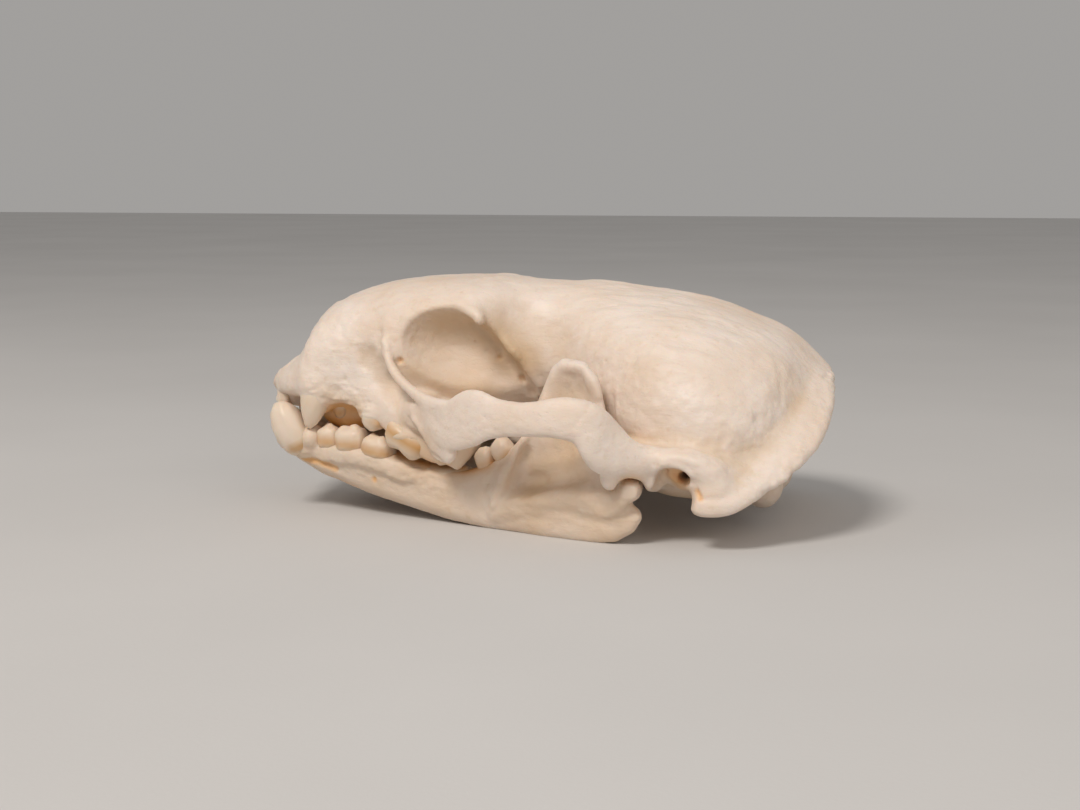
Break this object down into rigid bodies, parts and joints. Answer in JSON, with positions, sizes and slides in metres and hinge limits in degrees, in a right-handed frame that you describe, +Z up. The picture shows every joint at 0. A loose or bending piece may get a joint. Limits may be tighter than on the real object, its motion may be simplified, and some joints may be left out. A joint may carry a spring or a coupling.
{
  "type": "otter skull",
  "caption": "Bleached otter skull with its closed lower jaw, life size, resting on the lower edges of the jaw.",
  "frame": {"origin": "on the floor, under the middle of the skull's bounding box", "axes": "+X runs along the skull from the nose to the back of the head, +Y to the skull's right side, +Z up"},
  "size_m": [0.143, 0.1034, 0.0584],
  "materials": {
    "bone": "bleached, satin, warm cream white bone"
  },
  "bodies": {
    "root": {"cranium": "bone", "jugal_left": "bone", "jugal_right": "bone", "mandible_left": "bone", "mandible_right": "bone"}
  },
  "joints": []
}
